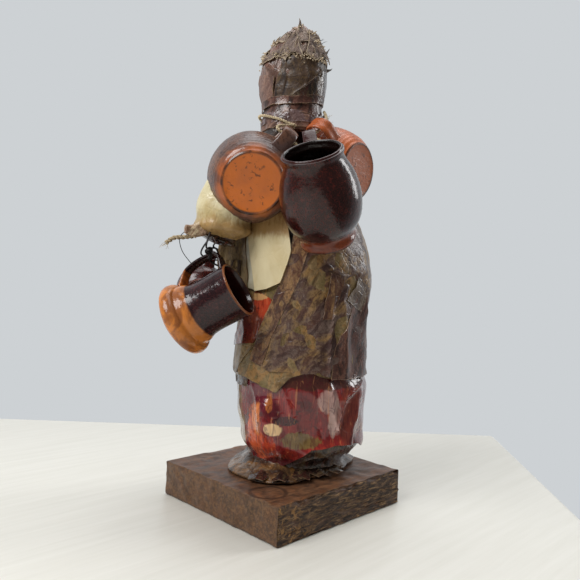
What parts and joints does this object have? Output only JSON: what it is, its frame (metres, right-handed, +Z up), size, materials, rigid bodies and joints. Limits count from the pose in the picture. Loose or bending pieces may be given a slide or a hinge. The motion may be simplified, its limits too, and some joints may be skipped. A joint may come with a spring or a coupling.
{
  "type": "papier-mache figure",
  "caption": "Standing papier-mache pottery seller in varnished paper clothes on a square wooden block, little clay pots on his back and arm.",
  "frame": {"origin": "the middle of the wooden block's underside", "axes": "+Z up, the man faces -Y, +X is his left hand and +Y is his back"},
  "size_m": [0.1819, 0.1644, 0.3639],
  "materials": {
    "stained_wood": "dark stained, worn, with rough sawn sides",
    "varnished_paper": "crumpled paper under brown and clear varnish",
    "brown_glazed_clay": "thin brown glaze with a bare orange foot",
    "red_brown_glazed_clay": "glossy dark red-brown speckled glaze",
    "two_tone_glazed_clay": "glossy, dark brown at the mouth and orange at the foot",
    "twine": "dry natural fibre, frayed ends",
    "black_wire": "black, satin"
  },
  "bodies": {
    "root": {"wood_base": "stained_wood", "paper_figure": "varnished_paper", "left_back_mug": "brown_glazed_clay", "right_back_mug": "brown_glazed_clay", "back_jug": "red_brown_glazed_clay", "front_hand_mug": "two_tone_glazed_clay", "rear_hand_jug": "red_brown_glazed_clay", "neck_twine": "twine", "hand_straw": "twine", "wire_tie": "black_wire"}
  },
  "joints": []
}
